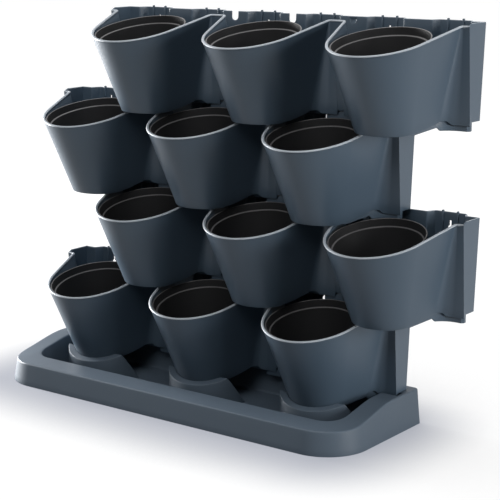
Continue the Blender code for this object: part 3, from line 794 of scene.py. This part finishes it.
def trayMesh():
    # the section is carried round the tray: each of its points is an outline with a height that may
    # depend on Y; basin floor and ground face are flat ends
    t = tray

    def outer(grow, height):
        rearGrow = min(grow, t["rearGrow"])
        ring = trayOutline(t["side"] + grow, t["front"] - grow, t["rear"] + rearGrow,
                           t["frontRadius"] + grow, max(t["rearRadius"] + rearGrow, t["leastRadius"]))
        return np.column_stack([ring, height(ring[:, 1])])

    def basin(shrink, height):
        ring = trayOutline(t["side"] - t["bandSide"] - shrink, t["front"] + t["bandFront"] + shrink,
                           t["rear"] - t["bandBack"] - shrink, t["basinRadius"] - shrink,
                           t["basinRearRadius"] - shrink / 2)
        return np.column_stack([ring, height(ring[:, 1])])

    outerHeight = lambda y: t["frontHeight"] + (t["height"] - t["frontHeight"]) * trayRise(y)
    innerHeight = lambda y: outerHeight(y) + t["rimRise"] * (1 - trayRise(y))
    level = lambda z: (lambda y: np.full(len(y), float(z)))
    below = lambda height, drop: (lambda y: height(y) - drop)
    between = lambda low, height, share: (lambda y: low * (1 - share) + height(y) * share)
    flare = lambda share: t["flare"] * (1 - share)
    quarter = lambda steps: np.linspace(0, math.pi / 2, steps)

    # outside: the foot's edge, the flared wall and its rounded top
    stations = [outer(t["flare"] + grow, level(z)) for grow, z in t["footEdge"]]
    for share in t["wallShares"]:
        stations.append(outer(flare(share), between(0, outerHeight, share)))
    r = t["edgeRound"]
    for a in quarter(t["edgeSteps"]):
        grow = flare(t["edgeShare"]) * (1 - a / 2) - r * (1 - math.cos(a))
        stations.append(outer(grow, below(outerHeight, r * (1 - math.sin(a)))))
    # across the rim, over its inner edge and down into the basin
    rim = stations[-1]
    r = t["rimRound"]
    last = basin(-r, innerHeight)
    for share in np.linspace(*t["rimShares"]):
        stations.append(rim * (1 - share) + last * share)
    for a in quarter(t["rimSteps"]):
        stations.append(basin(-r * (1 - math.sin(a)), below(innerHeight, r * (1 - math.cos(a)))))
    w = t["wall"]
    for share in t["basinShares"]:
        stations.append(basin(t["basinDraft"] * share, between(w, innerHeight, 1 - share)))
    r = t["basinRound"]
    for a in quarter(t["rimSteps"]):
        shrink = t["basinDraft"] - t["basinStep"] + r * (1 - math.cos(a))
        stations.append(basin(shrink, level(w + r * (1 - math.sin(a)))))
    # the hollow under the rim, from the basin's side to the outer wall's
    s = t["hollowStep"]
    hollow = [basin(t["basinDraft"] - w, level(0)), basin(-w, below(innerHeight, w + s)),
              basin(-w - s, below(innerHeight, w)), outer(-w - s, below(outerHeight, w)),
              outer(-w, below(outerHeight, w + s)), outer(t["flare"] - w + t["footStep"], level(0))]
    return toMesh("tray", *closedTube(np.stack(hollow + stations)))


def saddleParts():
    # a horseshoe wall under the front of each lowest pocket: round the horseshoe, between an outer and
    # an inner arc, its top is the lower of two sloping planes, and the inside follows the pocket's wall
    t = tray
    a = np.radians(np.linspace(t["saddleFrom"], t["saddleTo"], t["saddleSteps"]))
    arc = np.stack([np.cos(a), np.sin(a)], -1)
    outer = t["saddleRadius"] * arc + [0, t["saddleCentre"]]
    ledge = t["ledgeRadius"] * arc + [0, c["footCentre"]]
    datum = tierPlace(tiers)[2]
    floor = t["wall"] - t["saddleSunk"]
    gap = t["saddleGap"]
    least = t["saddleLeast"]

    def pocketPlan(z):
        # the pocket's outline, let out by the gap, at the height z, with the same angles
        share = np.clip((z - datum + t["pocketFoot"]) / t["pocketHeight"], 0, 1)
        radius = c["footRadius"] + (c["rimRadius"] - c["footRadius"]) * share + gap
        centre = c["footCentre"] + (c["rimCentre"] - c["footCentre"]) * share
        return np.stack([radius * np.cos(a), centre + radius * np.sin(a)], -1)

    def topZ(plan, over):
        y = plan[:, 1]
        planes = (t["saddlePeak"] + t["saddleSlope"] * y, t["saddlePeak"] - t["saddleCut"] * y)
        return np.maximum(np.minimum(*planes), floor + over)

    def casingZ(plan):
        return undersideZ(plan[:, 0], plan[:, 1]) + datum - 2 * gap

    edge = topZ(outer, least)
    r = np.minimum(t["saddleRound"], (edge - floor) * 0.4)
    rings = [np.column_stack([outer, np.full(len(a), floor)]),
             np.column_stack([outer, floor + (edge - r - floor) * 0.5])]
    inward = ([0, t["saddleCentre"]] - outer) / t["saddleRadius"]
    for b in np.linspace(0, math.pi / 2, t["saddleEdgeSteps"]):
        plan = outer + inward * (r * (1 - math.cos(b)))[:, None]
        rings.append(np.column_stack([plan, edge - r * (1 - math.sin(b))]))
    crown = plan
    inner = pocketPlan(np.full(len(a), t["pocketStart"]))
    for _ in range(4):
        inner = pocketPlan(topZ(inner, least))
    for share in t["saddleShares"]:
        plan = crown * (1 - share) + inner * share
        rings.append(np.column_stack([plan, topZ(plan, least)]))
    step = casingZ(pocketPlan(np.zeros(len(a))))
    low = np.maximum(np.minimum(step, rings[-1][:, 2] - least), floor + least / 2)
    rings.append(np.column_stack([pocketPlan(low), low]))
    shelf = np.maximum(np.minimum(casingZ(ledge), topZ(ledge, least / 2)), floor + least / 2)
    rings.append(np.column_stack([ledge, shelf]))
    rings.append(np.column_stack([ledge, np.full(len(a), floor)]))
    sections = np.swapaxes(np.stack(rings), 0, 1)
    return joinParts([closedTube(sections + [x, 0, 0]) for x in pocketCentres])


def slotCutters():
    # room in the tray's raised sides for the lowest casing's end lips
    t = tray
    low = panelFoot - fittings["lipDrop"] + tierPlace(tiers)[2] - t["slotGap"]
    reach = (low, t["height"] + t["slotOver"])
    parts = []
    for side in (-1, 1):
        x, xEnd = np.sort([side * t["slotIn"], side * (halfLength + t["slotGap"])])
        corners = [[x, t["slotFront"]], [xEnd, t["slotFront"]], [xEnd, t["slotBack"]], [x, t["slotBack"]]]
        parts.append(extruded(np.array(corners), 2, reach))
    return toMesh("slots", *joinParts(parts))


traySurface = cutMesh(trayMesh(), slotCutters(), "tray")
traySurface = addFittings(traySurface, *saddleParts())
print("tray:", len(traySurface.polygons), "faces")
dress(placed(traySurface, "drip_tray", (0, 0, 0)), "tray", "tray", "tray")

# Floor, lights and camera. A lamp has its power in watts, its size and its place.
studio = dict(
    floorHalf=40, floorColour=(0.13, 0.13, 0.13), floorGlow=0.86, glowFrom=0.6, glowTo=1.6,
    # the floor's painted shadow: darker where something stands near, by ambient occlusion, and fading out
    # round the tray
    paintedShadeReach=0.40, paintedShadeAt=(0.30, 0.85), paintedShadeColour=(0.22, 0.23, 0.27), paintedShadeSamples=12,
    paintedShadowSpread=0.175, paintedShadowInset=0.03, paintedShadowColour=(0.39, 0.41, 0.475), paintedShadowShift=(-0.015, -0.02),
    fill=0.035, aim=(0.05, 0, 0.28), tall=1.4,
    lamps=dict(key=(70, 1.0, (2.9, 0.1, 0.60)), rim=(270, 0.75, (-2.5, 0.08, 0.32)),
               front=(58, 1.6, (0.7, -2.1, 2.7)), top=(36, 1.2, (-0.3, 0.2, 2.6))))


def cameraRays(tree, place):
    # a node whose output is 1 for rays that come from the camera, also by way of a gloss or glass
    path = node(tree, "ShaderNodeLightPath", place)
    gloss = node(tree, "ShaderNodeMath", (place[0] + 180, place[1]), operation="MAXIMUM")
    glass = node(tree, "ShaderNodeMath", (place[0] + 360, place[1]), operation="MAXIMUM")
    wire(tree, [(path, "Is Camera Ray", gloss, 0),
                (path, "Is Glossy Ray", gloss, 1),
                (gloss, 0, glass, 0),
                (path, "Is Transmission Ray", glass, 1)])
    return glass


def floorMaterial():
    # a diffuse floor that also glows for the camera: a painted shadow dims the glow where something
    # stands near, and a painted shadow fades out round the tray, by how far a point lies outside a rectangle
    s = studio
    low, high = np.array(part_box("tray"))
    middle = (low + high) / 2 + [*s["paintedShadowShift"], 0]
    half = (high - low) / 2 - s["paintedShadowInset"]
    material = bpy.data.materials.new("paleFloor")
    material.use_nodes = True
    tree = material.node_tree
    tree.nodes.remove(tree.nodes["Principled BSDF"])
    diffuse = node(tree, "ShaderNodeBsdfDiffuse", (-300, 200), {"Color": (*s["floorColour"], 1)})
    glow = node(tree, "ShaderNodeEmission", (-300, 0))
    strength = node(tree, "ShaderNodeMath", (-500, 0), operation="MULTIPLY")
    added = node(tree, "ShaderNodeAddShader", (-60, 100))
    nearby = node(tree, "ShaderNodeAmbientOcclusion", (-900, -250), {"Distance": s["paintedShadeReach"]},
                  samples=s["paintedShadeSamples"])
    paintedShadeFrom, paintedShadeTo = s["paintedShadeAt"]
    shade = node(tree, "ShaderNodeMapRange", (-700, -250), {"From Min": paintedShadeFrom, "From Max": paintedShadeTo})
    tint = node(tree, "ShaderNodeMix", (-500, -250),
                {"A": (*s["paintedShadeColour"], 1), "B": (1, 1, 1, 1)}, data_type="RGBA")
    # painted shadow: the glow darkens by how near a point lies to the tray's rectangle
    where = node(tree, "ShaderNodeNewGeometry", (-1300, -500))
    distance = node(tree, "ShaderNodeVectorMath", (-1100, -500), operation="LENGTH")
    far = node(tree, "ShaderNodeMapRange", (-900, -500),
               {"From Min": s["glowFrom"], "From Max": s["glowTo"], "To Min": s["floorGlow"], "To Max": 1})
    shift = node(tree, "ShaderNodeVectorMath", (-1100, -750), {1: (*middle[:2], 0)}, operation="SUBTRACT")
    mirror = node(tree, "ShaderNodeVectorMath", (-920, -750), operation="ABSOLUTE")
    past = node(tree, "ShaderNodeVectorMath", (-740, -750), {1: (*half[:2], 0)}, operation="SUBTRACT")
    only = node(tree, "ShaderNodeVectorMath", (-560, -750), operation="MAXIMUM")
    away = node(tree, "ShaderNodeVectorMath", (-380, -750), operation="LENGTH")
    paintedShadowSpread = node(tree, "ShaderNodeMapRange", (-200, -750), {"From Max": s["paintedShadowSpread"]},
                interpolation_type="SMOOTHSTEP")
    fade = node(tree, "ShaderNodeMix", (0, -750), {"A": (*s["paintedShadowColour"], 1)}, data_type="RGBA")
    wire(tree, [(where, "Position", shift, 0),
                (shift, 0, mirror, 0),
                (mirror, 0, past, 0),
                (past, 0, only, 0),
                (only, 0, away, 0),
                (away, "Value", paintedShadowSpread, "Value"),
                (paintedShadowSpread, "Result", fade, "Factor"),
                (nearby, "AO", shade, "Value"),
                (shade, "Result", tint, "Factor"),
                (tint, "Result", fade, "B"),
                (where, "Position", distance, 0),
                (distance, "Value", far, "Value"),
                (cameraRays(tree, (-1100, 0)), 0, strength, 0),
                (far, "Result", strength, 1),
                (fade, "Result", glow, "Color"),
                (strength, 0, glow, "Strength"),
                (diffuse, 0, added, 0),
                (glow, 0, added, 1),
                (added, 0, tree.nodes["Material Output"], "Surface")])
    return material


reach = studio["floorHalf"]
floorMesh = bpy.data.meshes.new("floor")
floorMesh.from_pydata([(-reach, -reach, 0), (reach, -reach, 0), (reach, reach, 0), (-reach, reach, 0)],
                      [], [(0, 1, 2, 3)])
floorMesh.materials.append(floorMaterial())
floor = bpy.data.objects.new("floor", floorMesh)
bpy.context.scene.collection.objects.link(floor)

world = bpy.data.worlds.new("studio")
bpy.context.scene.world = world
world.use_nodes = True
background = world.node_tree.nodes["Background"]
background.inputs["Color"].default_value = (1, 1, 1, 1)
brightness = node(world.node_tree, "ShaderNodeMapRange", (-250, 0), {"To Min": studio["fill"], "To Max": 1})
wire(world.node_tree, [(cameraRays(world.node_tree, (-1000, 0)), 0, brightness, "Value"),
                       (brightness, "Result", background, "Strength")])


def softbox(name, power, size, place):
    # an upright area lamp that faces the aim
    light = bpy.data.lights.new(name, "AREA")
    light.shape = "RECTANGLE"
    light.size = size
    light.size_y = size * studio["tall"]
    light.energy = power
    lamp = bpy.data.objects.new(name, light)
    lamp.location = place
    away = np.array(place) - np.array(studio["aim"])
    flat = math.hypot(away[0], away[1])
    lamp.rotation_euler = (math.atan2(flat, away[2]), 0, math.atan2(away[0], -away[1]))
    bpy.context.scene.collection.objects.link(lamp)


for name, lamp in studio["lamps"].items():
    softbox(name + "Softbox", *lamp)

view = dict(azimuth=36.715, elevation=12.266, distance=2.10465, lens=109.56, sensor=36,
            aim=(0.09428, 0, 0.08041))    # the aim is measured from the lowest casing's datum
turn, lift = (math.radians(view[key]) for key in ("azimuth", "elevation"))
back = np.array([math.sin(turn) * math.cos(lift), -math.cos(turn) * math.cos(lift), math.sin(lift)])
cameraData = bpy.data.cameras.new("camera")
cameraData.lens = view["lens"]
cameraData.sensor_width = view["sensor"]
camera = bpy.data.objects.new("camera", cameraData)
bpy.context.scene.collection.objects.link(camera)
camera.location = np.array(view["aim"]) + [0, 0, tierPlace(tiers)[2]] + back * view["distance"]
camera.rotation_euler = (math.pi / 2 - lift, 0, turn)
bpy.context.scene.camera = camera
bpy.context.scene.view_settings.view_transform = "Standard"
print("studio ready")
